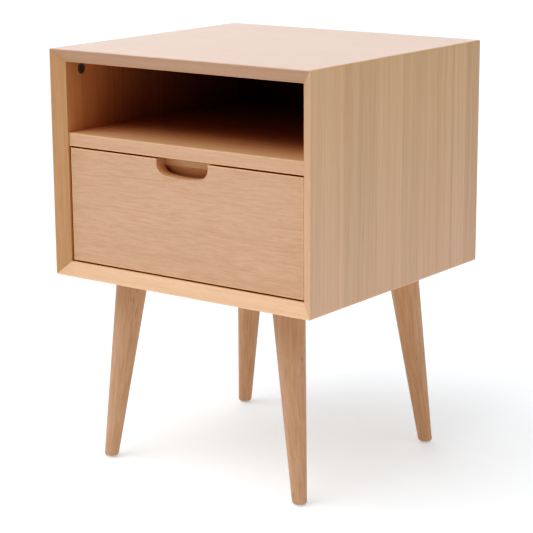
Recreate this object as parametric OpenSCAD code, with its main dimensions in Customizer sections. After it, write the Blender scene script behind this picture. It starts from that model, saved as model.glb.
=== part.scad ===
// Nightstand: a mitred board carcass with one open compartment over one drawer,
// standing on four splayed, tapered legs.
// Millimetres. X is the width, -Y is the front, +Z is up, and the floor is at Z = 0.

/* [Carcass] */
// Overall width of the carcass
body_w = 450; // [360:1:600]
// Overall depth of the carcass
body_d = 428; // [350:1:540]
// Height of the carcass without the legs
body_h = 327; // [270:1:420]
// Thickness of the carcass boards
board_t = 19; // [16:0.5:24]
// How far the sloped front edges run back from the outer arris
bevel_d = 13.7; // [8:0.1:20]
// Clear height of the open compartment above the shelf
compartment_h = 101.4; // [80:0.1:140]
// How far the shelf and the drawer front stand back from the bevel's inner edge
front_recess = 2.5; // [0:0.1:6]

/* [Back panel] */
// Thickness of the back panel
back_t = 5; // [3:0.5:8]
// Distance from the back panel to the rear edges of the boards
back_inset = 10; // [6:0.5:20]
// Depth of the groove that holds the back panel
back_groove = 6; // [4:0.5:8]

/* [Legs] */
// Height from the floor to the underside of the carcass
leg_h = 281; // [150:1:350]
// Radius of a leg at the carcass
leg_top_r = 23.5; // [18:0.1:30]
// Radius of a leg at the floor
leg_foot_r = 10.2; // [9.5:0.1:16]
// Distance from the carcass side to a leg's top centre
leg_top_inset_x = 86; // [60:1:110]
// Distance from the carcass front or back to a leg's top centre
leg_top_inset_y = 71; // [55:1:100]
// Distance from the carcass side to a leg's foot centre
foot_inset_x = 52.6; // [30:0.1:80]
// Distance from the carcass front or back to a leg's foot centre
foot_inset_y = 50; // [30:0.1:80]
// Thickness of the steel plate that carries a leg
plate_t = 3; // [2:0.5:4]
// Width of the square plate that carries a leg
plate_w = 64; // [58:1:70]
// Height of the threaded boss on the plate
boss_h = 8; // [6:0.5:9]
// Radius of the threaded boss on the plate
boss_r = 8; // [7:0.5:10]
// Radius of the hanger bolt between a leg and its plate
hanger_r = 4; // [3:0.5:5]
// Thickness of the nylon glide under each foot
glide_h = 2.5; // [1.5:0.5:5]
// Radius of the nylon glide under each foot
glide_r = 8; // [6:0.5:9]

/* [Drawer front] */
// Thickness of the drawer front
front_t = 19; // [16:0.5:22]
// Gap round the drawer front
front_gap = 2.3; // [1.5:0.1:3]
// Width of the finger cut-out
cutout_w = 90; // [70:1:130]
// Depth of the finger cut-out below the top edge
cutout_depth = 24.3; // [20:0.1:34]
// Radius of the lower corners of the finger cut-out
cutout_corner_r = 16; // [8:0.5:18]
// Radius of the shallow curve along the bottom of the finger cut-out
cutout_bow_r = 200; // [150:10:400]

/* [Drawer box] */
// Height of the drawer box
box_h = 152; // [100:1:160]
// Clearance below the shelf for the drawer box
box_top_gap = 4.6; // [4:0.1:12]
// Thickness of the drawer box sides and back
box_side_t = 12; // [10:0.5:16]
// Thickness of the board behind the drawer front
box_front_t = 15; // [12:0.5:18]
// Thickness of the drawer bottom
box_bottom_t = 5; // [3:0.5:8]
// Height of the drawer bottom above the lower edge of the box
box_bottom_z = 10; // [8:0.5:16]
// Depth of the grooves that hold the drawer bottom
box_groove = 5; // [3:0.5:6]
// Depth of the finger cove behind the cut-out
grip_depth = 6; // [4:0.5:9]
// Height of the finger cove behind the cut-out
grip_h = 30; // [24:1:36]
// How far the finger cove runs past each side of the cut-out
grip_margin = 4; // [2:0.5:10]

/* [Drawer slides] */
// Space that a slide takes between the carcass and the drawer box
slide_space = 12.7; // [12.5:0.1:13]
// Height of the slide's cabinet rail
slide_h = 45; // [42:0.5:48]
// Thickness of the slide's steel
steel_t = 1.2; // [1:0.1:1.4]
// Radius of the slide's balls
ball_r = 1.35; // [1.2:0.05:1.5]
// Clearance between a ball and its track
ball_gap = 0.3; // [0.2:0.05:0.4]
// Number of balls in each row
ball_count = 8; // [4:1:10]
// Standard step in which slides come
slide_step = 50; // [25:25:50]
// Length of slide that stays together when the drawer is open
slide_overlap = 50; // [40:5:80]

/* [Hardware] */
// Radius of a cam lock
cam_r = 7.4; // [6:0.1:7.5]
// Depth of a cam lock
cam_depth = 12.4; // [10:0.1:12.5]
// Distance from a carcass corner to the cam lock's centre
cam_to_corner = 32; // [30:0.5:36]
// Distance from the carcass front or back to the cam lock's centre
cam_inset_y = 46; // [40:1:60]
// Radius of a connecting bolt
bolt_r = 3; // [2.5:0.1:3.2]
// Radius of the shelf dowels
dowel_r = 4; // [3:0.5:4]
// Length of the shelf dowels
dowel_l = 30; // [25:1:36]
// Radius of the dowels across the mitres and in the drawer box
small_dowel_r = 3; // [2.5:0.5:3]
// Radius of a screw shank
screw_r = 1.9; // [1.5:0.1:2.2]
// Clearance round fixed hardware in its bore
bore_fit = 0.1; // [0.05:0.05:0.2]

/* [Hidden] */
$fn = 48;

// Reach of a cut past the face that it opens
over = 1;

// Carcass levels
total_h = leg_h + body_h;
front_y = -body_d / 2;
back_y = body_d / 2;
mid_z = leg_h + body_h / 2;
inner_w = body_w - 2 * board_t;
inner_x = inner_w / 2;
opening_floor_z = leg_h + board_t;
shelf_top_z = total_h - board_t - compartment_h;
shelf_z = shelf_top_z - board_t;
facing_y = front_y + bevel_d + front_recess;
back_panel_y = back_y - back_inset - back_t;
groove_fit = 0.2;

// Legs
leg_top_x = body_w / 2 - leg_top_inset_x;
leg_top_y = body_d / 2 - leg_top_inset_y;
foot_x = body_w / 2 - foot_inset_x;
foot_y = body_d / 2 - foot_inset_y;
leg_run_x = foot_x - leg_top_x;
leg_run_y = foot_y - leg_top_y;
leg_run = norm([leg_run_x, leg_run_y]);
leg_tilt = atan2(leg_run, leg_h);
leg_length = norm([leg_run, leg_h]);
// The seams of a leg and of its bores are turned apart, so that they never cross
leg_turn = 30;
bore_turn = 75;
hanger_in_leg = 40;
hanger_above_plate = boss_h + 1.5;
boss_room = 0.5;
plate_corner_r = plate_w * 0.625;
plate_screw_offset = plate_w / 2 - 8;
plate_screw_l = 13;
glide_pin_r = 2;
glide_pin_l = 14;

// Drawer front and its finger cut-out
front_x = inner_x - front_gap;
front_z = opening_floor_z + front_gap;
front_top_z = shelf_z - front_gap;
front_h = front_top_z - front_z;
cutout_lip_z = front_top_z - cutout_depth;

// Drawer box
box_x = inner_x - slide_space;
box_y = facing_y + front_t;
box_top_z = shelf_z - box_top_gap;
box_z = box_top_z - box_h;
box_inner_x = box_x - box_side_t;
grip_z = cutout_lip_z - 1;
grip_r = (grip_h * grip_h / 4 + grip_depth * grip_depth) / (2 * grip_depth);

// Slides, with U measured from the carcass side towards the drawer
slide_rear_room = 20;
slide_l = slide_step * floor((back_panel_y - slide_rear_room - box_y) / slide_step);
slide_travel = slide_l - slide_overlap;
slide_y = box_y + 1;
slide_z = box_z + box_h / 2;
race = 2 * (ball_r + ball_gap);
cabinet_rail_v = slide_h / 2;
middle_rail_v = cabinet_rail_v - steel_t - race;
drawer_rail_v = middle_rail_v - steel_t - race;
cabinet_rail_tip = slide_space - 2.7;
middle_web_u = 4;
middle_rail_tip = slide_space - 3.1;
drawer_rail_tip = middle_web_u + steel_t + 0.4;
outer_ball_u = 7;
inner_ball_u = 7.6;
cage_t = 0.8;
cage_w = 3.6;
cage_margin = 5;
cage_l = slide_l - slide_travel / 2 - 2 * cage_margin;
box_l = slide_l;
rail_screw_ys = [0.1, 0.5, 0.9];
rail_hole_r = screw_r + 0.3;
rail_screw_l = 9;
rail_head_r = 3.6;
rail_head_h = 1.6;

// Hardware
cam_fit = 0.2;
cam_bore_depth = cam_depth + 0.4;
bolt_bore_r = bolt_r + 1;
mitre_bolt_reach = 24;
knuckle_r = bolt_r + 0.5;
mitre_bolt_past = bolt_bore_r;
mitre_dowel_half = 7;
mitre_dowel_share = 0.6;
shelf_cam_to_end = 24;
shelf_bolt_in_side = 10;
dowel_in_side = 9.5;
dowel_end_room = 0.5;
box_dowel_l = 24;
box_dowel_in_side = 8;
front_screw_l = box_front_t + 12;
front_screw_x = 140 / 206 * inner_x;
front_screw_rise = 38;
front_head_r = 4;
front_head_h = 2;
cam_ys = [front_y + cam_inset_y, back_y - cam_inset_y];
mitre_dowel_ys = [-0.28 * body_d, 0, 0.28 * body_d];
shelf_dowel_ys = [-0.12 * body_d, 0.12 * body_d];

// ---- helpers ----

// Draws a 2D shape given in X and Z, extruded from Y = 0 to Y = length
module along_y(length) {
    translate([0, length, 0])
    rotate([90, 0, 0])
    linear_extrude(height = length)
    children();
}

// Draws a cylinder along X, from the origin towards +X
module rod_x(r, length) {
    rotate([0, 90, 0])
    cylinder(r = r, h = length);
}

// Draws a cylinder along Y, from the origin towards +Y
module rod_y(r, length) {
    rotate([-90, 0, 0])
    cylinder(r = r, h = length);
}

// Mirrors what is drawn for the right side when side is -1
module on_side(side) {
    mirror([side < 0 ? 1 : 0, 0, 0])
    children();
}

// Moves what is drawn for the upper right corner to another corner of the carcass
module on_corner(side, end) {
    translate([0, 0, mid_z])
    mirror([0, 0, end < 0 ? 1 : 0])
    on_side(side)
    children();
}

// Cross recess of a screw or cam head, cut down from Z = 0
module cross_recess(size, depth) {
    for (turn = [0, 90])
        rotate([0, 0, turn])
        translate([-size, -size / 6, -depth])
        cube([2 * size, size / 3, depth + over]);
}

// Pan-head screw with its head above Z = 0 and its shank below
module pan_screw(length, head_r, head_h) {
    difference() {
        union() {
            cylinder(r = head_r, h = head_h);
            translate([0, 0, -length + 2 * screw_r])
            cylinder(r = screw_r, h = length - 2 * screw_r);
            translate([0, 0, -length])
            cylinder(r1 = 0.2, r2 = screw_r, h = 2 * screw_r);
        }
        translate([0, 0, head_h])
        cross_recess(head_r * 0.6, head_h * 0.7);
    }
}

// Bore for the shank of a pan-head screw, open at Z = 0
module screw_bore(length) {
    translate([0, 0, -length - 0.5])
    cylinder(r = screw_r + bore_fit, h = length + 0.5 + over);
}

// ---- carcass ----

// Board of the carcass rim, mitred at both ends and sloped along its front edge.
// Its outer face is at Z = 0, and its length lies along X.
module rim_board(length) {
    difference() {
        intersection() {
            translate([0, front_y, 0])
            along_y(body_d)
            polygon([
                [-length / 2, 0], [length / 2, 0],
                [length / 2 - board_t, -board_t], [-length / 2 + board_t, -board_t]
            ]);
            translate([-length / 2, 0, 0])
            rotate([90, 0, 90])
            linear_extrude(height = length)
            polygon([
                [front_y, 0], [back_y, 0],
                [back_y, -board_t], [front_y + bevel_d, -board_t]
            ]);
        }
        translate([-length / 2, back_panel_y, -board_t - over])
        cube([length, back_t + groove_fit, back_groove + groove_fit + over]);
    }
}

// Bores for the hardware of the upper right corner, from the carcass centre
module corner_bores() {
    for (y = cam_ys) {
        translate([inner_x - over, y, body_h / 2 - cam_to_corner])
        rod_x(cam_r + cam_fit, cam_bore_depth + over);
        translate([body_w / 2 - board_t / 2, y, body_h / 2 - cam_to_corner])
        cylinder(r = bolt_bore_r, h = cam_to_corner - board_t / 2 + mitre_bolt_past);
        translate([body_w / 2 - board_t / 2 - mitre_bolt_reach - over, y, body_h / 2 - board_t / 2])
        rod_x(bolt_bore_r, mitre_bolt_reach + over + mitre_bolt_past);
    }
    for (y = mitre_dowel_ys)
        translate([0, y, 0])
        mitre_dowel(small_dowel_r + bore_fit, mitre_dowel_half + dowel_end_room);
}

// Dowel square to the mitre of the upper right corner, from the carcass centre
module mitre_dowel(r, half_length) {
    translate([
        body_w / 2 - mitre_dowel_share * board_t, 0,
        body_h / 2 - mitre_dowel_share * board_t
    ])
    rotate([0, 135, 0])
    translate([0, 0, -half_length])
    cylinder(r = r, h = 2 * half_length);
}

module top_panel() {
    color("burlywood")
    difference() {
        translate([0, 0, total_h])
        rim_board(body_w);
        for (side = [-1, 1])
            on_corner(side, 1)
            corner_bores();
    }
}

module bottom_panel() {
    color("burlywood")
    difference() {
        translate([0, 0, leg_h])
        mirror([0, 0, 1])
        rim_board(body_w);
        for (side = [-1, 1])
            on_corner(side, -1)
            corner_bores();
        on_legs()
        boss_bore();
        on_legs()
        plate_screw_places()
        screw_bore(plate_screw_l);
    }
}

// Side board on the right, with the bores for its shelf hardware and slide
module side_panel() {
    difference() {
        translate([body_w / 2, 0, mid_z])
        rotate([0, 90, 0])
        rim_board(body_h);
        for (end = [-1, 1])
            on_corner(1, end)
            corner_bores();
        for (y = cam_ys)
            translate([inner_x - over, y, shelf_z + board_t / 2])
            rod_x(bolt_r + bore_fit, shelf_bolt_in_side + dowel_end_room + over);
        for (y = shelf_dowel_ys)
            translate([inner_x - over, y, shelf_z + board_t / 2])
            rod_x(dowel_r + bore_fit, dowel_in_side + dowel_end_room + over);
        cabinet_screw_places()
        screw_bore(rail_screw_l);
    }
}

module left_side_panel() {
    color("burlywood")
    on_side(-1)
    side_panel();
}

module right_side_panel() {
    color("burlywood")
    side_panel();
}

module divider_shelf() {
    color("burlywood")
    difference() {
        translate([-inner_x, facing_y, shelf_z])
        cube([inner_w, back_panel_y - facing_y, board_t]);
        for (side = [-1, 1])
            on_side(side) {
                for (y = cam_ys) {
                    translate([inner_x - shelf_cam_to_end, y, shelf_z - over])
                    cylinder(r = cam_r + cam_fit, h = cam_bore_depth + over);
                    translate([inner_x - shelf_cam_to_end, y, shelf_z + board_t / 2])
                    rod_x(bolt_bore_r, shelf_cam_to_end + over);
                }
                for (y = shelf_dowel_ys)
                    translate([inner_x + dowel_in_side - dowel_l - dowel_end_room, y,
                        shelf_z + board_t / 2])
                    rod_x(dowel_r + bore_fit, dowel_l);
            }
    }
}

module back_panel() {
    color("tan")
    translate([-inner_x - back_groove, back_panel_y, opening_floor_z - back_groove])
    cube([inner_w + 2 * back_groove, back_t, body_h - 2 * board_t + 2 * back_groove]);
}

// ---- carcass hardware ----

// Cam lock with its face at Z = 0 and its body below, open towards +X for a bolt
module cam_lock() {
    difference() {
        translate([0, 0, -cam_depth])
        cylinder(r = cam_r, h = cam_depth);
        translate([-bolt_r, 0, -board_t / 2])
        rod_x(bolt_bore_r, cam_r + bolt_r + over);
        cross_recess(cam_r * 0.55, 1.6);
    }
}

module mitre_cam_locks() {
    color("dimgray")
    for (side = [-1, 1], end = [-1, 1], y = cam_ys)
        on_corner(side, end)
        translate([inner_x, y, body_h / 2 - cam_to_corner])
        rotate([0, -90, 0])
        cam_lock();
}

// Hinged bolt that turns the corner inside the mitre
module mitre_bolt() {
    turn_x = body_w / 2 - board_t / 2;
    turn_z = body_h / 2 - board_t / 2;
    head_z = body_h / 2 - cam_to_corner + 1;
    union() {
        translate([turn_x, 0, head_z])
        cylinder(r = bolt_r, h = turn_z - head_z);
        translate([turn_x, 0, turn_z])
        sphere(r = knuckle_r);
        translate([turn_x - mitre_bolt_reach, 0, turn_z])
        rod_x(bolt_r, mitre_bolt_reach);
    }
}

module mitre_bolts() {
    color("silver")
    for (side = [-1, 1], end = [-1, 1], y = cam_ys)
        on_corner(side, end)
        translate([0, y, 0])
        mitre_bolt();
}

module mitre_dowels() {
    color("wheat")
    for (side = [-1, 1], end = [-1, 1], y = mitre_dowel_ys)
        on_corner(side, end)
        translate([0, y, 0])
        mitre_dowel(small_dowel_r, mitre_dowel_half);
}

module shelf_cam_locks() {
    color("dimgray")
    for (side = [-1, 1], y = cam_ys)
        on_side(side)
        translate([inner_x - shelf_cam_to_end, y, shelf_z])
        mirror([0, 0, 1])
        cam_lock();
}

module shelf_bolts() {
    color("silver")
    for (side = [-1, 1], y = cam_ys)
        on_side(side)
        translate([inner_x - shelf_cam_to_end + 1, y, shelf_z + board_t / 2])
        rod_x(bolt_r, shelf_cam_to_end - 1 + shelf_bolt_in_side);
}

module shelf_dowels() {
    color("wheat")
    for (side = [-1, 1], y = shelf_dowel_ys)
        on_side(side)
        translate([inner_x + dowel_in_side - dowel_l + dowel_end_room, y, shelf_z + board_t / 2])
        rod_x(dowel_r, dowel_l - dowel_end_room);
}

// ---- legs ----

// Repeats what is drawn for the rear right leg at all four legs
module on_legs() {
    for (side = [-1, 1], end = [-1, 1])
        mirror([0, end < 0 ? 1 : 0, 0])
        on_side(side)
        children();
}

// Draws along the rear right leg's axis, from its foot towards the carcass,
// turned about that axis
module on_leg_axis(turn) {
    translate([foot_x, foot_y, 0])
    rotate([0, leg_tilt, atan2(-leg_run_y, -leg_run_x)])
    rotate([0, 0, turn])
    children();
}

// Keeps what lies between two heights near the rear right leg
module between_heights(low, high) {
    intersection() {
        children();
        translate([0, 0, low])
        cube([body_w, body_d, high - low]);
    }
}

// Distance along the leg's axis that spans a height
function along_leg(height) = height / cos(leg_tilt);

module leg() {
    taper = (leg_top_r - leg_foot_r) / leg_length;
    extra = along_leg(10);
    leg_top_z = leg_h - plate_t;
    difference() {
        between_heights(glide_h, leg_top_z)
        on_leg_axis(leg_turn)
        translate([0, 0, -extra])
        cylinder(
            r1 = leg_foot_r - taper * extra, r2 = leg_top_r + taper * extra,
            h = leg_length + 2 * extra, $fn = 96
        );
        on_leg_axis(bore_turn)
        translate([0, 0, along_leg(leg_top_z) - hanger_in_leg - dowel_end_room])
        cylinder(r = hanger_r + bore_fit, h = hanger_in_leg + 10);
        translate([foot_x, foot_y, 0])
        cylinder(r = glide_pin_r + bore_fit, h = glide_h + glide_pin_l + dowel_end_room);
    }
}

module front_left_leg() {
    color("burlywood")
    mirror([0, 1, 0])
    on_side(-1)
    leg();
}

module front_right_leg() {
    color("burlywood")
    mirror([0, 1, 0])
    leg();
}

module rear_left_leg() {
    color("burlywood")
    on_side(-1)
    leg();
}

module rear_right_leg() {
    color("burlywood")
    leg();
}

// Draws at the centre of the rear right leg's plate, on the carcass underside
module on_plate() {
    translate([leg_top_x, leg_top_y, leg_h])
    children();
}

// Recess in the bottom board for a plate's boss
module boss_bore() {
    on_plate()
    translate([0, 0, -over])
    cylinder(r = boss_r + boss_room, h = boss_h + 4 + over);
}

// Places a screw, head down, at each corner of the rear right leg's plate
module plate_screw_places() {
    on_plate()
    for (dx = [-1, 1], dy = [-1, 1])
        translate([dx * plate_screw_offset, dy * plate_screw_offset, 0])
        mirror([0, 0, 1])
        children();
}

module leg_plates() {
    color("gray")
    on_legs()
    difference() {
        on_plate()
        union() {
            translate([0, 0, -plate_t])
            linear_extrude(height = plate_t)
            intersection() {
                square(plate_w, center = true);
                circle(r = plate_corner_r);
            }
            cylinder(r = boss_r, h = boss_h);
        }
        on_leg_axis(bore_turn)
        translate([0, 0, along_leg(leg_h) - 20])
        cylinder(r = hanger_r + bore_fit, h = 50);
        plate_screw_places()
        translate([0, 0, -over])
        cylinder(r = rail_hole_r, h = plate_t + 2 * over);
    }
}

module leg_plate_screws() {
    color("silver")
    on_legs()
    plate_screw_places()
    translate([0, 0, plate_t])
    pan_screw(plate_screw_l, rail_head_r, rail_head_h);
}

module hanger_bolts() {
    color("silver")
    on_legs()
    on_leg_axis(bore_turn)
    translate([0, 0, along_leg(leg_h - plate_t) - hanger_in_leg])
    cylinder(r = hanger_r, h = hanger_in_leg + along_leg(plate_t + hanger_above_plate));
}

module foot_glides() {
    color("white")
    on_legs()
    translate([foot_x, foot_y, 0])
    union() {
        cylinder(r = glide_r, h = glide_h);
        cylinder(r = glide_pin_r, h = glide_h + glide_pin_l);
    }
}

// ---- drawer ----

// Points along an arc, from one angle to another
function arc(x, z, r, from, to, steps) = [
    for (i = [1 : steps])
        let (angle = from + (to - from) * i / steps)
        [x + r * cos(angle), z + r * sin(angle)]
];

// Outline of the finger cut-out, hanging down from the origin in X and Z
module cutout_outline() {
    corner_x = cutout_w / 2 - cutout_corner_r;
    bow_z = cutout_bow_r - cutout_depth;
    corner_z = bow_z - sqrt(pow(cutout_bow_r - cutout_corner_r, 2) - pow(corner_x, 2));
    touch = atan2(corner_z - bow_z, corner_x);
    polygon(concat(
        [[-cutout_w / 2, over], [cutout_w / 2, over], [cutout_w / 2, corner_z]],
        arc(corner_x, corner_z, cutout_corner_r, 0, touch, 16),
        arc(0, bow_z, cutout_bow_r, touch, -180 - touch, 16),
        arc(-corner_x, corner_z, cutout_corner_r, -180 - touch, -180, 16)
    ));
}

module drawer_front() {
    color("burlywood")
    difference() {
        translate([-front_x, facing_y, front_z])
        cube([2 * front_x, front_t, front_h]);
        translate([0, facing_y - over, front_top_z])
        along_y(front_t + 2 * over)
        cutout_outline();
        front_screw_places()
        screw_bore(front_screw_l);
    }
}

// Places a screw behind the drawer front, with its shank towards the front
module front_screw_places() {
    for (side = [-1, 1], rise = [front_screw_rise, box_h - front_screw_rise])
        translate([side * front_screw_x, box_y + box_front_t, box_z + rise])
        rotate([-90, 0, 0])
        children();
}

// Groove round the drawer box that holds the bottom
module bottom_groove() {
    half_w = box_inner_x + box_groove + groove_fit;
    translate([-half_w, box_y + box_front_t - box_groove - groove_fit, box_z + box_bottom_z])
    cube([
        2 * half_w,
        box_l - box_front_t - box_side_t + 2 * (box_groove + groove_fit),
        box_bottom_t + groove_fit
    ]);
}

// Places a dowel, along +X, at the end of each board across the drawer box
module box_dowel_places() {
    for (side = [-1, 1], rise = [0.25, 0.75])
        for (y = [box_y + box_front_t / 2, box_y + box_l - box_side_t / 2])
            on_side(side)
            translate([box_inner_x + box_dowel_in_side - box_dowel_l, y, box_z + rise * box_h])
            children();
}

// Bores for the drawer box's dowels
module box_dowel_bores() {
    box_dowel_places()
    translate([-dowel_end_room, 0, 0])
    rod_x(small_dowel_r + bore_fit, box_dowel_l + 2 * dowel_end_room);
}

module drawer_box_front() {
    color("wheat")
    difference() {
        translate([-box_inner_x, box_y, box_z])
        cube([2 * box_inner_x, box_front_t, box_h]);
        bottom_groove();
        finger_cove();
        box_dowel_bores();
        front_screw_places()
        screw_bore(front_screw_l);
    }
}

// Cove in which fingertips curl behind the lip of the cut-out
module finger_cove() {
    half_w = cutout_w / 2 + grip_margin;
    translate([-half_w, box_y + grip_depth - grip_r, grip_z])
    rotate([0, 90, 0])
    cylinder(h = 2 * half_w, r = grip_r);
}

// Right side of the drawer box
module drawer_side() {
    difference() {
        translate([box_inner_x, box_y, box_z])
        cube([box_side_t, box_l, box_h]);
        bottom_groove();
        box_dowel_bores();
        drawer_screw_places()
        screw_bore(rail_screw_l);
    }
}

module drawer_left_side() {
    color("wheat")
    on_side(-1)
    drawer_side();
}

module drawer_right_side() {
    color("wheat")
    drawer_side();
}

module drawer_back() {
    color("wheat")
    difference() {
        translate([-box_inner_x, box_y + box_l - box_side_t, box_z])
        cube([2 * box_inner_x, box_side_t, box_h]);
        bottom_groove();
        box_dowel_bores();
    }
}

module drawer_bottom() {
    color("tan")
    translate([-box_inner_x - box_groove, box_y + box_front_t - box_groove, box_z + box_bottom_z])
    cube([
        2 * (box_inner_x + box_groove),
        box_l - box_front_t - box_side_t + 2 * box_groove,
        box_bottom_t
    ]);
}

module drawer_dowels() {
    color("wheat")
    box_dowel_places()
    rod_x(small_dowel_r, box_dowel_l);
}

module drawer_front_screws() {
    color("silver")
    front_screw_places()
    pan_screw(front_screw_l, front_head_r, front_head_h);
}

// ---- slides ----

// Draws for the right slide, with -X as its U, Z as its V and Y along it
module on_slide() {
    translate([inner_x, slide_y, slide_z])
    children();
}

// Channel with its web from web_a to web_b, and its flanges reaching to tip
module channel(web_a, web_b, tip, half_h) {
    along_y(slide_l)
    polygon([
        [-web_a, -half_h], [-tip, -half_h],
        [-tip, -half_h + steel_t], [-web_b, -half_h + steel_t],
        [-web_b, half_h - steel_t], [-tip, half_h - steel_t],
        [-tip, half_h], [-web_a, half_h]
    ]);
}

// Holes along a rail's web
module rail_holes(web_u) {
    for (share = rail_screw_ys)
        translate([-web_u - steel_t - over, share * slide_l, 0])
        rod_x(rail_hole_r, steel_t + 2 * over);
}

module cabinet_rail() {
    on_slide()
    difference() {
        channel(0, steel_t, cabinet_rail_tip, cabinet_rail_v);
        rail_holes(0);
    }
}

module middle_rail() {
    on_slide()
    channel(middle_web_u, middle_web_u + steel_t, middle_rail_tip, middle_rail_v);
}

module drawer_rail() {
    on_slide()
    difference() {
        channel(slide_space, slide_space - steel_t, drawer_rail_tip, drawer_rail_v);
        rail_holes(slide_space - steel_t);
    }
}

// Two rows of balls at height track_v, each in its slotted strip
module ball_cage(ball_u, track_v) {
    pitch = cage_l / ball_count;
    on_slide()
    for (level = [-1, 1])
        translate([-ball_u, (slide_l - cage_l) / 2, level * track_v]) {
            difference() {
                translate([-cage_w / 2, 0, -cage_t / 2])
                cube([cage_w, cage_l, cage_t]);
                for (i = [0 : ball_count - 1])
                    translate([0, (i + 0.5) * pitch, -over])
                    cylinder(r = ball_r + bore_fit, h = 2 * over);
            }
            for (i = [0 : ball_count - 1])
                translate([0, (i + 0.5) * pitch, 0])
                sphere(r = ball_r);
        }
}

module outer_ball_cage() {
    ball_cage(outer_ball_u, cabinet_rail_v - steel_t - race / 2);
}

module inner_ball_cage() {
    ball_cage(inner_ball_u, middle_rail_v - steel_t - race / 2);
}

// Places a screw through the cabinet rail, with its head towards the drawer
module cabinet_screw_places() {
    on_slide()
    for (share = rail_screw_ys)
        translate([0, share * slide_l, 0])
        rotate([0, -90, 0])
        children();
}

// Places a screw through the drawer rail, with its head towards the carcass
module drawer_screw_places() {
    on_slide()
    for (share = rail_screw_ys)
        translate([-slide_space, share * slide_l, 0])
        rotate([0, 90, 0])
        children();
}

module cabinet_rail_screws() {
    color("silver")
    for (side = [-1, 1])
        on_side(side)
        cabinet_screw_places()
        translate([0, 0, steel_t])
        pan_screw(rail_screw_l, rail_head_r, rail_head_h);
}

module drawer_rail_screws() {
    color("silver")
    for (side = [-1, 1])
        on_side(side)
        drawer_screw_places()
        translate([0, 0, steel_t])
        pan_screw(rail_screw_l, rail_head_r, rail_head_h);
}

module left_cabinet_rail() { color("silver") on_side(-1) cabinet_rail(); }
module left_outer_ball_cage() { color("gray") on_side(-1) outer_ball_cage(); }
module left_middle_rail() { color("lightgray") on_side(-1) middle_rail(); }
module left_inner_ball_cage() { color("gray") on_side(-1) inner_ball_cage(); }
module left_drawer_rail() { color("silver") on_side(-1) drawer_rail(); }
module right_cabinet_rail() { color("silver") cabinet_rail(); }
module right_outer_ball_cage() { color("gray") outer_ball_cage(); }
module right_middle_rail() { color("lightgray") middle_rail(); }
module right_inner_ball_cage() { color("gray") inner_ball_cage(); }
module right_drawer_rail() { color("silver") drawer_rail(); }

top_panel();
bottom_panel();
left_side_panel();
right_side_panel();
divider_shelf();
back_panel();
mitre_cam_locks();
mitre_bolts();
mitre_dowels();
shelf_cam_locks();
shelf_bolts();
shelf_dowels();
front_left_leg();
front_right_leg();
rear_left_leg();
rear_right_leg();
leg_plates();
leg_plate_screws();
hanger_bolts();
foot_glides();
drawer_front();
drawer_box_front();
drawer_left_side();
drawer_right_side();
drawer_back();
drawer_bottom();
drawer_dowels();
drawer_front_screws();
left_cabinet_rail();
left_outer_ball_cage();
left_middle_rail();
left_inner_ball_cage();
left_drawer_rail();
right_cabinet_rail();
right_outer_ball_cage();
right_middle_rail();
right_inner_ball_cage();
right_drawer_rail();
cabinet_rail_screws();
drawer_rail_screws();
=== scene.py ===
"""Looks of the nightstand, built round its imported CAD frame. Lengths are in metres."""

import math

import bmesh
import bpy
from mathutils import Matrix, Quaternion, Vector


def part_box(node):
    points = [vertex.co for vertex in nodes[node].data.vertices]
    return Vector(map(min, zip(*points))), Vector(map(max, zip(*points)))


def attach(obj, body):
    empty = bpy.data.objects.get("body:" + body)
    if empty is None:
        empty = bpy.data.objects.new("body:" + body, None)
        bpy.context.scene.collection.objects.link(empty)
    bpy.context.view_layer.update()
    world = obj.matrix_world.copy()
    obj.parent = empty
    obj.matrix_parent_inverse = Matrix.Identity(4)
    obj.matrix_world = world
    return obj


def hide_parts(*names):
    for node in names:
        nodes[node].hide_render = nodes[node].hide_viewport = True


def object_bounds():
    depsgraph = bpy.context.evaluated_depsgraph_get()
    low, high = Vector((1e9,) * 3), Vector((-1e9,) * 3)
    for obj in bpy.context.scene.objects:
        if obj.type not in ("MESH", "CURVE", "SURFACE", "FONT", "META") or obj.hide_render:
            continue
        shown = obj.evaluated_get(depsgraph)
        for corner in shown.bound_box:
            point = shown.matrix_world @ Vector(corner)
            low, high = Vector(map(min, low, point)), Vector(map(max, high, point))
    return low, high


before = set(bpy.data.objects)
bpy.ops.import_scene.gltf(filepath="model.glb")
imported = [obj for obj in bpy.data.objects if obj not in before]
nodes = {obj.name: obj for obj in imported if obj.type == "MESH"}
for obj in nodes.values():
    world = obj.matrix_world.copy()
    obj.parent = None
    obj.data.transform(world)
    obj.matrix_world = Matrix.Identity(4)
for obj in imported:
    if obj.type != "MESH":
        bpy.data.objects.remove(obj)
cad_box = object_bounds()

MM = 0.001
X, Y, Z = Vector((1, 0, 0)), Vector((0, 1, 0)), Vector((0, 0, 1))


# two points closer than this are one, and a vertex this close to a plane lies in it
WELD = 0.002 * MM
IN_PLANE = 0.01 * MM

# radii of the softened arrises and of the legs' feet
CARCASS_ARRIS = 2.4 * MM
SHELF_ARRIS = 0.8 * MM
DRAWER_ARRIS = 0.6 * MM
FOOT_ARRIS = 2.6 * MM

# edges of a foot lie this close to its lowest point, and those of its glide's bore are shorter
FOOT_SLACK = 0.05 * MM
FOOT_EDGE = 0.45 * MM

# how far from a board's outer arrises the wood is rubbed and painted lighter, partly wearing and
# partly a painted highlight
WEAR_AND_HIGHLIGHT_REACH = 3 * MM

# how far a leg leans outwards across and along the carcass, over its height, all in mm
LEG_LEAN_X, LEG_LEAN_Y, LEG_HEIGHT = 33.4, 21.0, 281

# how much larger than the carcass, on each side, is the rounded box that trims its boards
TRIM_CLEARANCE = 0.01 * MM


# ---- camera, light and floor ----

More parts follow.
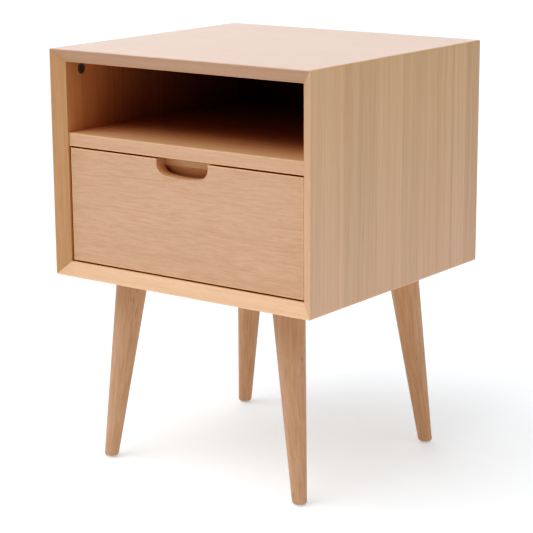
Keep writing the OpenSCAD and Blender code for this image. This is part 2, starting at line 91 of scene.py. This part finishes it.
# tones darker than SHADOW_END are pulled down, the darkest the most. SHADOW_KEEP says how soon a
# tone comes back to its full light, and SHADOW_POINTS is how many points the curve has.
SHADOW_END = 0.34
SHADOW_KEEP = 2.7
SHADOW_POINTS = 8


def add_camera():
    """A long lens, to the right of the front and a little above the carcass."""
    azimuth, elevation, roll = (math.radians(a) for a in (36.74, 13.47, 0.35))
    distance = 2.6155
    low, high = cad_box
    aim = (low + high) / 2 + Vector((6.1, -14.2, -18.9)) * MM
    back = Vector((
        math.sin(azimuth) * math.cos(elevation),
        -math.cos(azimuth) * math.cos(elevation),
        math.sin(elevation),
    ))
    camera = bpy.data.objects.new("camera", bpy.data.cameras.new("camera"))
    camera.data.sensor_width = 36
    camera.data.lens = 121.0
    camera.data.clip_start, camera.data.clip_end = 0.1, 200
    camera.location = aim + back * distance
    camera.rotation_mode = "QUATERNION"
    camera.rotation_quaternion = (-back).to_track_quat("-Z", "Y") @ Quaternion((0, 0, 1), -roll)
    bpy.context.scene.collection.objects.link(camera)
    bpy.context.scene.camera = camera


class Graph:
    """Short calls that add shader nodes and link them."""

    def __init__(self, tree):
        self.tree = tree
        tree.nodes.clear()

    def node(self, kind, **settings):
        made = self.tree.nodes.new(kind)
        for name, value in settings.items():
            setattr(made, name, value)
        return made

    def put(self, socket, value):
        """Links a socket to an output, or sets its value."""
        if isinstance(value, bpy.types.NodeSocket):
            self.tree.links.new(value, socket)
        elif value is not None:
            socket.default_value = value

    def math(self, operation, a, b=None, c=None, clamp=False):
        made = self.node("ShaderNodeMath", operation=operation, use_clamp=clamp)
        for socket, value in zip(made.inputs, (a, b, c)):
            self.put(socket, value)
        return made.outputs[0]

    def dot(self, vector, direction):
        made = self.node("ShaderNodeVectorMath", operation="DOT_PRODUCT")
        self.put(made.inputs[0], vector)
        made.inputs[1].default_value = direction
        return made.outputs["Value"]

    def vector(self, x, y, z):
        made = self.node("ShaderNodeCombineXYZ")
        for socket, value in zip(made.inputs, (x, y, z)):
            self.put(socket, value)
        return made.outputs[0]

    def noise(self, vector, scale, detail, roughness=0.5):
        made = self.node("ShaderNodeTexNoise")
        self.put(made.inputs["Vector"], vector)
        made.inputs["Scale"].default_value = scale
        made.inputs["Detail"].default_value = detail
        made.inputs["Roughness"].default_value = roughness
        return made.outputs["Fac"]

    def remap(self, value, low, high, to_low=0.0, to_high=1.0, smooth=False):
        made = self.node("ShaderNodeMapRange")
        if smooth:
            made.interpolation_type = "SMOOTHSTEP"
        for name, number in (
            ("Value", value), ("From Min", low), ("From Max", high),
            ("To Min", to_low), ("To Max", to_high),
        ):
            self.put(made.inputs[name], number)
        return made.outputs[0]

    def mix(self, share, a, b, blend="MIX"):
        made = self.node("ShaderNodeMix", data_type="RGBA", blend_type=blend)
        self.put(made.inputs["Factor"], share)
        self.put(made.inputs[6], a)
        self.put(made.inputs[7], b)
        return made.outputs[2]

    def scale_colour(self, colour, factor):
        """Multiplies a colour by a number."""
        made = self.node("ShaderNodeVectorMath", operation="SCALE")
        self.put(made.inputs[0], colour)
        self.put(made.inputs["Scale"], factor)
        return made.outputs[0]

    def bump(self, height, distance, strength):
        made = self.node("ShaderNodeBump")
        self.put(made.inputs["Height"], height)
        made.inputs["Distance"].default_value = distance
        made.inputs["Strength"].default_value = strength
        return made.outputs[0]


def add_world():
    """A soft studio, painted on the world: each light fades in round its own direction."""
    world = bpy.data.worlds.new("studio")
    bpy.context.scene.world = world
    world.use_nodes = True
    g = Graph(world.node_tree)
    direction = g.node("ShaderNodeTexCoord").outputs["Generated"]
    light = 0.03
    lights = (
        # direction toward the light, cosine where it starts, cosine where it is full, strength
        ((0, 0, 1), 0.5, 0.95, 0.55),  # ceiling
        ((-0.18, -0.47, 0.86), 0.82, 0.973, 3.2),  # key, high in front
        ((-0.6, -0.78, 0.15), 0.5, 0.95, 0.20),  # low fill, front left
        ((0.95, -0.05, 0.3), 0.6, 0.95, 0.82),  # right side
        ((-0.95, 0, 0.3), 0.5, 0.95, 0.92),  # left side
        ((-0.58, 0.78, 0.23), 0.8, 0.97, 1.9),  # behind, on the left
    )
    for toward, start, full, strength in lights:
        facing = g.dot(direction, Vector(toward).normalized())
        light = g.math("ADD", light, g.remap(facing, start, full, 0, strength, smooth=True))
    background = g.node("ShaderNodeBackground")
    g.put(background.inputs["Strength"], light)
    background.inputs["Color"].default_value = (1.0, 0.985, 0.965, 1)
    output = g.node("ShaderNodeOutputWorld")
    g.put(output.inputs[0], background.outputs[0])


def set_contrast():
    """Plain colour response, with the deepest shadows pulled down as a camera does."""
    view = bpy.context.scene.view_settings
    view.view_transform = "Standard"
    view.use_curve_mapping = True
    curve = view.curve_mapping.curves[3]
    for i in range(1, SHADOW_POINTS + 1):
        share = (i / SHADOW_POINTS) ** 2
        light = SHADOW_END * share
        curve.points.new(light, light * (1 - (1 - share) ** SHADOW_KEEP))
    for point in curve.points:
        point.handle_type = "VECTOR"
    view.curve_mapping.update()


def add_floor():
    """A plain pale floor that runs out of sight, lit a little from within as a light table is."""
    half = 60
    mesh = bpy.data.meshes.new("floor")
    mesh.from_pydata(
        [(-half, -half, 0), (half, -half, 0), (half, half, 0), (-half, half, 0)], [], [(0, 1, 2, 3)]
    )
    floor = bpy.data.objects.new("floor", mesh)
    bpy.context.scene.collection.objects.link(floor)
    material, g, shader = new_material("floor_paint")
    place = g.node("ShaderNodeTexCoord").outputs["Object"]
    mottle = g.noise(place, 3.0, 3)
    g.put(shader.inputs["Base Color"], g.mix(mottle, (0.62, 0.64, 0.66, 1), (0.65, 0.67, 0.69, 1)))
    shader.inputs["Roughness"].default_value = 0.9
    shader.inputs["Specular IOR Level"].default_value = 0.1
    shader.inputs["Emission Color"].default_value = (0.95, 1.0, 1.04, 1)
    shader.inputs["Emission Strength"].default_value = 0.36
    mesh.materials.append(material)


def new_material(name):
    material = bpy.data.materials.new(name)
    material.use_nodes = True
    g = Graph(material.node_tree)
    shader = g.node("ShaderNodeBsdfPrincipled")
    output = g.node("ShaderNodeOutputMaterial")
    g.put(output.inputs[0], shader.outputs[0])
    return material, g, shader


# ---- materials ----

# mask of the outer arrises, where the wood is rubbed and painted lighter: partly wearing and partly a
# painted highlight
def edge_wear_and_highlight(g, place, box, reach):
    """1 on a box's arrises and 0 elsewhere, broken up along the edge."""
    low, high = box
    near = []
    for axis, a, b in zip((X, Y, Z), low, high):
        off_centre = g.math("SUBTRACT", g.dot(place, axis), (a + b) / 2)
        half = (b - a) / 2
        near.append(g.remap(g.math("ABSOLUTE", off_centre), half - reach, half, smooth=True))
    x, y, z = near
    edges = g.math("MAXIMUM", g.math("MULTIPLY", x, y), g.math("MULTIPLY", y, z))
    edges = g.math("MAXIMUM", edges, g.math("MULTIPLY", z, x))
    return g.math("MULTIPLY", edges, g.remap(g.noise(place, 60, 2), 0.35, 0.6, 0.45, 1.0))


def wood(name, along, across, tint, seed, stave=0.062, tone=0.04, steps=(), figure=1.0,
         runs=9, lines=0.35, painted_light_fade=None, wear_and_highlight_box=None, flecks=0.0, roughness=0.52, sheen=0.0):
    """Laminated wood, with its grain along one direction and its staves side by side across
    another.

    tint is the colour of the pale and of the deep wood, tone is how much one stave differs from
    the next, and steps holds chosen changes of tone, each with its place across the board. runs
    is how broken the fibres are, and lines is how strongly they show. painted_light_fade holds
    the two tints at the low and high end of the board, painted light that colours it lighter at
    one end and darker at the other. wear_and_highlight_box is the box whose arrises are rubbed
    and painted lighter, partly wearing and partly a painted highlight.
    """
    pale, deep = tint
    material, g, shader = new_material(name)
    depth = along.cross(across)
    place = g.node("ShaderNodeTexCoord").outputs["Object"]
    u, v, w = (g.dot(place, axis) for axis in (along, across, depth))
    board_u, board_v = u, v

    # each stave has its own tone and its own stretch of grain
    staves = g.node("ShaderNodeTexVoronoi", voronoi_dimensions="1D", feature="F1")
    g.put(staves.inputs["W"], g.math("MULTIPLY_ADD", v, 1 / stave, seed * 3.7 + 0.5))
    staves.inputs["Scale"].default_value = 1.0
    staves.inputs["Randomness"].default_value = 0.8
    pick = g.node("ShaderNodeSeparateColor")
    g.put(pick.inputs[0], staves.outputs["Color"])
    own_tone, own_shift, own_hue = pick.outputs
    u = g.math("ADD", u, g.math("MULTIPLY_ADD", own_shift, 1.7, seed))

    # growth lines wander a little along the board
    drift = g.noise(g.vector(g.math("MULTIPLY", u, 2.4), g.math("MULTIPLY", v, 7.0),
                             g.math("MULTIPLY", w, 7.0)), 1.0, 2)
    v = g.math("MULTIPLY_ADD", g.math("SUBTRACT", drift, 0.5), 0.016 * figure, v)
    ripple = g.noise(g.vector(g.math("MULTIPLY", u, 22), g.math("MULTIPLY", v, 30),
                              g.math("MULTIPLY", w, 30)), 1.0, 1)
    v = g.math("MULTIPLY_ADD", g.math("SUBTRACT", ripple, 0.5), 0.004 * figure, v)

    def streaks(along_scale, across_scale, detail, rough=0.55):
        return g.noise(g.vector(
            g.math("MULTIPLY", u, along_scale),
            g.math("MULTIPLY", v, across_scale),
            g.math("MULTIPLY", w, across_scale),
        ), 1.0, detail, rough)

    broad = streaks(1.6, 16, 2)
    bands = streaks(0.2 * runs, 110, 3, 0.6)
    fibres = streaks(runs, 380, 3, 0.65)
    pores = g.remap(streaks(6 * runs, 1300, 1), 0.60, 0.72, smooth=True)

    share = g.math("ADD", g.math("MULTIPLY", g.remap(bands, 0.3, 0.7), 0.65 * (1 - lines)),
                   g.math("MULTIPLY", g.remap(broad, 0.3, 0.7), 0.35 * (1 - lines)))
    share = g.math("ADD", share, g.math("MULTIPLY", g.remap(fibres, 0.34, 0.66), lines), clamp=True)
    colour = g.mix(share, (*pale, 1), (*deep, 1))
    own = g.remap(own_tone, 0, 1, 1 - tone, 1 + tone)
    for across_at, change in steps:
        own = g.math("ADD", own, g.remap(
            board_v, across_at - STEP_SOFTNESS, across_at + STEP_SOFTNESS, 0, change, smooth=True))
    colour = g.scale_colour(colour, own)
    rosy = g.mix(g.remap(own_hue, 0, 1, 0.0, 0.5), (1, 1, 1, 1), (1.02, 0.965, 0.95, 1))
    colour = g.mix(1.0, colour, rosy, "MULTIPLY")
    # painted light: the board is coloured lighter towards one end and darker towards the other, as the
    # light falls along it
    if painted_light_fade:
        end = g.remap(board_u, *(board_low_high(wear_and_highlight_box, along)))
        colour = g.mix(1.0, colour, g.mix(end, (*painted_light_fade[0], 1), (*painted_light_fade[1], 1)), "MULTIPLY")
    dark = (*(c * 0.45 for c in deep), 1)
    colour = g.mix(g.math("MULTIPLY", pores, 0.22), colour, dark)
    if flecks:
        marks = g.remap(streaks(70, 600, 0), 0.72, 0.78, smooth=True)
        clusters = g.remap(g.noise(place, 14, 1), 0.5, 0.62, smooth=True)
        marks = g.math("MULTIPLY", g.math("MULTIPLY", marks, clusters), flecks)
        colour = g.mix(marks, colour, dark)
    rough = g.remap(fibres, 0.2, 0.8, roughness - 0.06, roughness + 0.08)
    # painted highlight and wearing: near the outer arrises the wood is rubbed smoother and coloured
    # lighter and warmer, partly wearing and partly a painted highlight standing for light caught on
    # the rounded arrises
    if wear_and_highlight_box:
        wear_and_highlight_mask = edge_wear_and_highlight(g, place, wear_and_highlight_box, WEAR_AND_HIGHLIGHT_REACH)
        polish_and_highlight = (*(c * warmth for c, warmth in zip(pale, (1.22, 1.12, 0.98))), 1)
        colour = g.mix(g.math("MULTIPLY", wear_and_highlight_mask, 0.7), colour, polish_and_highlight)
        rough = g.math("MULTIPLY_ADD", wear_and_highlight_mask, -0.12, rough)
    g.put(shader.inputs["Base Color"], colour)
    g.put(shader.inputs["Roughness"], rough)
    shader.inputs["Specular IOR Level"].default_value = 0.5
    if sheen:
        shader.inputs["Sheen Weight"].default_value = sheen
        shader.inputs["Sheen Roughness"].default_value = 0.35
    height = g.math("SUBTRACT", g.math("MULTIPLY_ADD", fibres, 0.5, g.math("MULTIPLY", bands, 0.4)),
                    g.math("MULTIPLY", pores, 0.6))
    g.put(shader.inputs["Normal"], g.bump(height, 0.12 * MM, 0.6))
    return material


def board_low_high(box, axis):
    """Where a box begins and ends along one axis."""
    return box[0].dot(axis), box[1].dot(axis)


def metal(name, colour, along, roughness, metallic=1.0):
    """Plated or painted steel with fine lines from rolling, faint blotches and small scuffs."""
    material, g, shader = new_material(name)
    place = g.node("ShaderNodeTexCoord").outputs["Object"]
    lines_place = g.vector(*(
        g.math("MULTIPLY", g.dot(place, axis), 40 if axis is along else 2600) for axis in (X, Y, Z)
    ))
    lines = g.noise(lines_place, 1.0, 2)
    blotches = g.noise(place, 70, 3)
    scuffs = g.remap(g.noise(place, 420, 2), 0.6, 0.75, smooth=True)
    shade = g.remap(blotches, 0.3, 0.7, 0.86, 1.08)
    shade = g.math("MULTIPLY", shade, g.remap(lines, 0.2, 0.8, 0.93, 1.06))
    g.put(shader.inputs["Base Color"], g.scale_colour(colour, shade))
    rough = g.remap(lines, 0.2, 0.8, roughness - 0.05, roughness + 0.07)
    g.put(shader.inputs["Roughness"], g.math("MULTIPLY_ADD", scuffs, 0.12, rough))
    shader.inputs["Metallic"].default_value = metallic
    g.put(shader.inputs["Normal"], g.bump(lines, 0.02 * MM, 0.5))
    return material


def moulded(name, colour, roughness, grain, height):
    """Moulded or powder-coated finish with a fine pebble and slight colour variation."""
    material, g, shader = new_material(name)
    place = g.node("ShaderNodeTexCoord").outputs["Object"]
    pebble = g.noise(place, grain, 2)
    cloud = g.noise(place, 45, 3)
    g.put(shader.inputs["Base Color"], g.scale_colour(colour, g.remap(cloud, 0.3, 0.7, 0.9, 1.08)))
    g.put(shader.inputs["Roughness"], g.remap(pebble, 0.2, 0.8, roughness - 0.08, roughness + 0.1))
    g.put(shader.inputs["Normal"], g.bump(pebble, height, 0.6))
    return material


# the colour of the pale wood and of the deep wood
OAK = (0.67, 0.415, 0.262), (0.54, 0.305, 0.178)
# painted light and shade: below, the left side's and the top's copies of the oak are darker, painted
# shade for faces that turn away from the light, such as their bevels, and the bottom's copy is
# lighter, painted light for its bevel, which faces up into the light. The right side's copy is a
# little yellower.
RIGHT_OAK = (0.675, 0.437, 0.270), (0.545, 0.325, 0.190)
LEFT_OAK_PAINTED_SHADE = (0.62, 0.340, 0.182), (0.49, 0.245, 0.122)
TOP_OAK_PAINTED_SHADE = (0.530, 0.312, 0.200), (0.450, 0.247, 0.150)
BOTTOM_OAK_PAINTED_LIGHT = (0.77, 0.515, 0.315), (0.65, 0.405, 0.232)
LEG_OAK = (0.585, 0.338, 0.208), (0.43, 0.225, 0.128)
BIRCH = (0.72, 0.53, 0.35), (0.60, 0.41, 0.25)
# painted shade: the back panel's brown is made dark so that the deep compartment in front of it shows
# shaded; partly the panel's own brown and partly painted shade
BROWN_VENEER_AND_PAINTED_SHADE = (0.24, 0.135, 0.072), (0.17, 0.088, 0.044)
BEECH = (0.74, 0.55, 0.38), (0.64, 0.45, 0.29)

# half the width over which one stave's tone gives way to the next
STEP_SOFTNESS = 0.8 * MM


# ---- pieces ----

# the faces of softened arrises, grooves' corners and bores are smaller than this, in square
# metres, and the broad faces of the boards are larger
SMALL_FACE = 4e-4


def copy_mesh(node):
    """A clean bmesh of a CAD node: welded, with each flat face whole."""
    bm = bmesh.new()
    bm.from_mesh(nodes[node].data)
    bmesh.ops.remove_doubles(bm, verts=bm.verts, dist=WELD)
    bmesh.ops.dissolve_limit(
        bm, angle_limit=math.radians(0.2), verts=bm.verts, edges=bm.edges, delimit={"NORMAL"}
    )
    bm.normal_update()
    return bm


def add_piece(name, bm, node, body, material, round_body=False):
    """Makes the piece that stands for a CAD node. Unless the body is round, its large faces
    are flat ones, and only the softened arrises between them are shaded smooth."""
    mesh = bpy.data.meshes.new(name)
    bm.to_mesh(mesh)
    bm.free()
    mesh.materials.append(material)
    mesh.shade_smooth()
    mesh.set_sharp_from_angle(angle=math.radians(28))
    if not round_body:
        for face in mesh.polygons:
            face.use_smooth = face.area < SMALL_FACE
    piece = bpy.data.objects.new(name, mesh)
    bpy.context.scene.collection.objects.link(piece)
    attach(piece, body)
    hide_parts(node)
    return piece


def lies_at(axis, place, slack=IN_PLANE):
    """A test for edges that lie in one plane across an axis."""
    return lambda edge: all(abs(v.co.dot(axis) - place) < slack for v in edge.verts)


def round_edges(bm, wanted, radius, segments=3):
    """Rounds the sharp edges that wanted() picks."""
    edges = [
        e for e in bm.edges
        if len(e.link_faces) == 2 and e.calc_face_angle(0) > math.radians(25) and wanted(e)
    ]
    bmesh.ops.bevel(
        bm, geom=edges, offset=radius, segments=segments, profile=0.5,
        affect="EDGES", clamp_overlap=True,
    )


def rounded_envelope(low, high, radius):
    """A box with rounded edges, which trims the carcass boards' outer arrises."""
    bm = bmesh.new()
    bmesh.ops.create_cube(bm, size=1)
    size, centre = high - low, (low + high) / 2
    for vert in bm.verts:
        vert.co = centre + Vector(a * b for a, b in zip(vert.co, size))
    bmesh.ops.bevel(bm, geom=bm.edges[:], offset=radius, segments=5, profile=0.5, affect="EDGES")
    mesh = bpy.data.meshes.new("envelope")
    bm.to_mesh(mesh)
    bm.free()
    made = bpy.data.objects.new("envelope", mesh)
    bpy.context.scene.collection.objects.link(made)
    return made


def trimmed_copy(node, envelope):
    """A CAD node's mesh, trimmed by the envelope."""
    source = bpy.data.meshes.new("trim")
    bm = copy_mesh(node)
    bm.to_mesh(source)
    bm.free()
    work = bpy.data.objects.new("trim", source)
    bpy.context.scene.collection.objects.link(work)
    cut = work.modifiers.new("cut", "BOOLEAN")
    cut.operation, cut.solver, cut.object = "INTERSECT", "EXACT", envelope
    depsgraph = bpy.context.evaluated_depsgraph_get()
    bm = bmesh.new()
    bm.from_mesh(work.evaluated_get(depsgraph).to_mesh())
    bpy.data.objects.remove(work)
    bmesh.ops.remove_doubles(bm, verts=bm.verts, dist=WELD)
    return bm


def make_carcass():
    """The mitred boards with softly rounded outer arrises, and the shelf."""
    low = Vector(map(min, *(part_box(n)[0] for n in ("bottom_panel", "left_side_panel"))))
    high = Vector(map(max, *(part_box(n)[1] for n in ("top_panel", "right_side_panel"))))
    margin = Vector((1, 1, 1)) * TRIM_CLEARANCE
    envelope = rounded_envelope(low - margin, high + margin, CARCASS_ARRIS)
    # the right side's staves change tone at these distances from its front edge
    right_steps = ((78, -0.075), (150, 0.025), (246, -0.03), (262, 0.03), (352, -0.15),
                   (355.5, 0.165), (388, -0.10))
    steps = tuple((low.y + distance * MM, change) for distance, change in right_steps)
    # painted light: the right side is coloured lighter and bluer towards its foot and darker and
    # yellower towards its top, as the light falls on it
    right = dict(tone=0.012, steps=steps, runs=2.5, lines=0.55,
                 painted_light_fade=((1.08, 1.075, 1.14), (0.965, 0.955, 0.90)))
    # painted light and shade: each board takes its own lighter or darker copy of the oak, as the light
    # falls on it
    boards = (
        ("top_panel", X, Y, 1.3, TOP_OAK_PAINTED_SHADE, dict(tone=0.02, sheen=0.55, roughness=0.4)),
        ("bottom_panel", X, Y, 7.1, BOTTOM_OAK_PAINTED_LIGHT, dict()),
        ("left_side_panel", Z, Y, 3.4, LEFT_OAK_PAINTED_SHADE, dict(runs=4)),
        ("right_side_panel", Z, Y, 5.2, RIGHT_OAK, right),
    )
    for node, along, across, seed, tint, extra in boards:
        material = wood("oak_" + node, along, across, tint, seed, wear_and_highlight_box=(low, high), **extra)
        bm = trimmed_copy(node, envelope)
        add_piece("oak_" + node, bm, node, "carcass", material)
    bpy.data.objects.remove(envelope)

    shelf_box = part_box("divider_shelf")
    bm = copy_mesh("divider_shelf")
    round_edges(bm, lies_at(Y, shelf_box[0].y), SHELF_ARRIS)
    material = wood("oak_shelf", X, Y, OAK, 2.2, runs=20, wear_and_highlight_box=shelf_box)
    add_piece("oak_divider_shelf", bm, "divider_shelf", "carcass", material)


def make_drawer_front():
    """The drawer front, with its front arrises softened."""
    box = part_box("drawer_front")
    bm = copy_mesh("drawer_front")
    round_edges(bm, lies_at(Y, box[0].y), DRAWER_ARRIS)
    material = wood("oak_drawer_front", X, Z, OAK, 4.6, stave=0.4, tone=0.02, figure=1.6,
                    runs=30, lines=0.6, wear_and_highlight_box=box)
    add_piece("oak_drawer_front", bm, "drawer_front", "drawer", material)


def make_legs():
    """Turned legs whose feet are softly rounded."""
    for i, node in enumerate(("front_left_leg", "front_right_leg", "rear_left_leg", "rear_right_leg")):
        low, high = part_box(node)
        side = 1 if low.x > 0 else -1
        end = 1 if low.y > 0 else -1
        axis = Vector((-side * LEG_LEAN_X, -end * LEG_LEAN_Y, LEG_HEIGHT)).normalized()
        across = axis.cross(Y).normalized()
        bm = copy_mesh(node)
        at_foot = lies_at(Z, low.z, FOOT_SLACK)
        round_edges(bm, lambda e: at_foot(e) and e.calc_length() > FOOT_EDGE, FOOT_ARRIS, 5)
        material = wood("oak_" + node, axis, across, LEG_OAK, 6.5 + 1.9 * i, stave=0.5, tone=0.02,
                        figure=1.1, runs=6, lines=0.6, flecks=0.6)
        add_piece("oak_" + node, bm, node, "carcass", material, round_body=True)


def dress_cad_nodes():
    """Gives every CAD node that stays its own finish."""
    plain = dict(stave=0.3, tone=0.03)
    birch = wood("birch_sides", Y, Z, BIRCH, 9.1, **plain)
    birch_across = wood("birch_ends", X, Z, BIRCH, 8.3, **plain)
    sub_front = wood("oak_sub_front", X, Z, OAK, 12.4, runs=20, **plain)
    # painted shade: the back panel is coloured a dark brown so that the deep compartment in front of
    # it shows shaded
    back_veneer_and_shade = wood("back_veneer_painted_shade", Z, X, BROWN_VENEER_AND_PAINTED_SHADE, 11.2, stave=0.11, tone=0.05)
    bottom = wood("bottom_veneer", X, Y, BIRCH, 13.0, stave=0.2)
    beech = wood("beech", X, Z, BEECH, 10.0, **plain)
    zinc = metal("dark_zinc", (0.22, 0.19, 0.16), X, 0.45, metallic=0.5)
    bright = metal("plated_steel", (0.62, 0.62, 0.63), Z, 0.3)
    slide = metal("slide_steel", (0.60, 0.61, 0.63), Y, 0.32)
    coat = moulded("black_coat", (0.03, 0.03, 0.03), 0.5, 900, 0.05 * MM)
    nylon = moulded("nylon", (0.82, 0.81, 0.78), 0.4, 500, 0.03 * MM)
    finishes = {
        "back_panel": back_veneer_and_shade, "drawer_bottom": bottom,
        "drawer_box_front": sub_front, "drawer_back": birch_across,
        "drawer_left_side": birch, "drawer_right_side": birch,
        "mitre_cam_locks": zinc, "shelf_cam_locks": zinc,
        "mitre_dowels": beech, "shelf_dowels": beech, "drawer_dowels": beech,
        "leg_plates": coat, "foot_glides": nylon,
    }
    for name, node in nodes.items():
        if node.hide_render:
            continue
        steel = slide if ("rail" in name or "cage" in name) and "screws" not in name else bright
        node.data.materials.clear()
        node.data.materials.append(finishes.get(name, steel))


set_contrast()
add_camera()
add_world()
add_floor()
make_carcass()
make_drawer_front()
make_legs()
dress_cad_nodes()
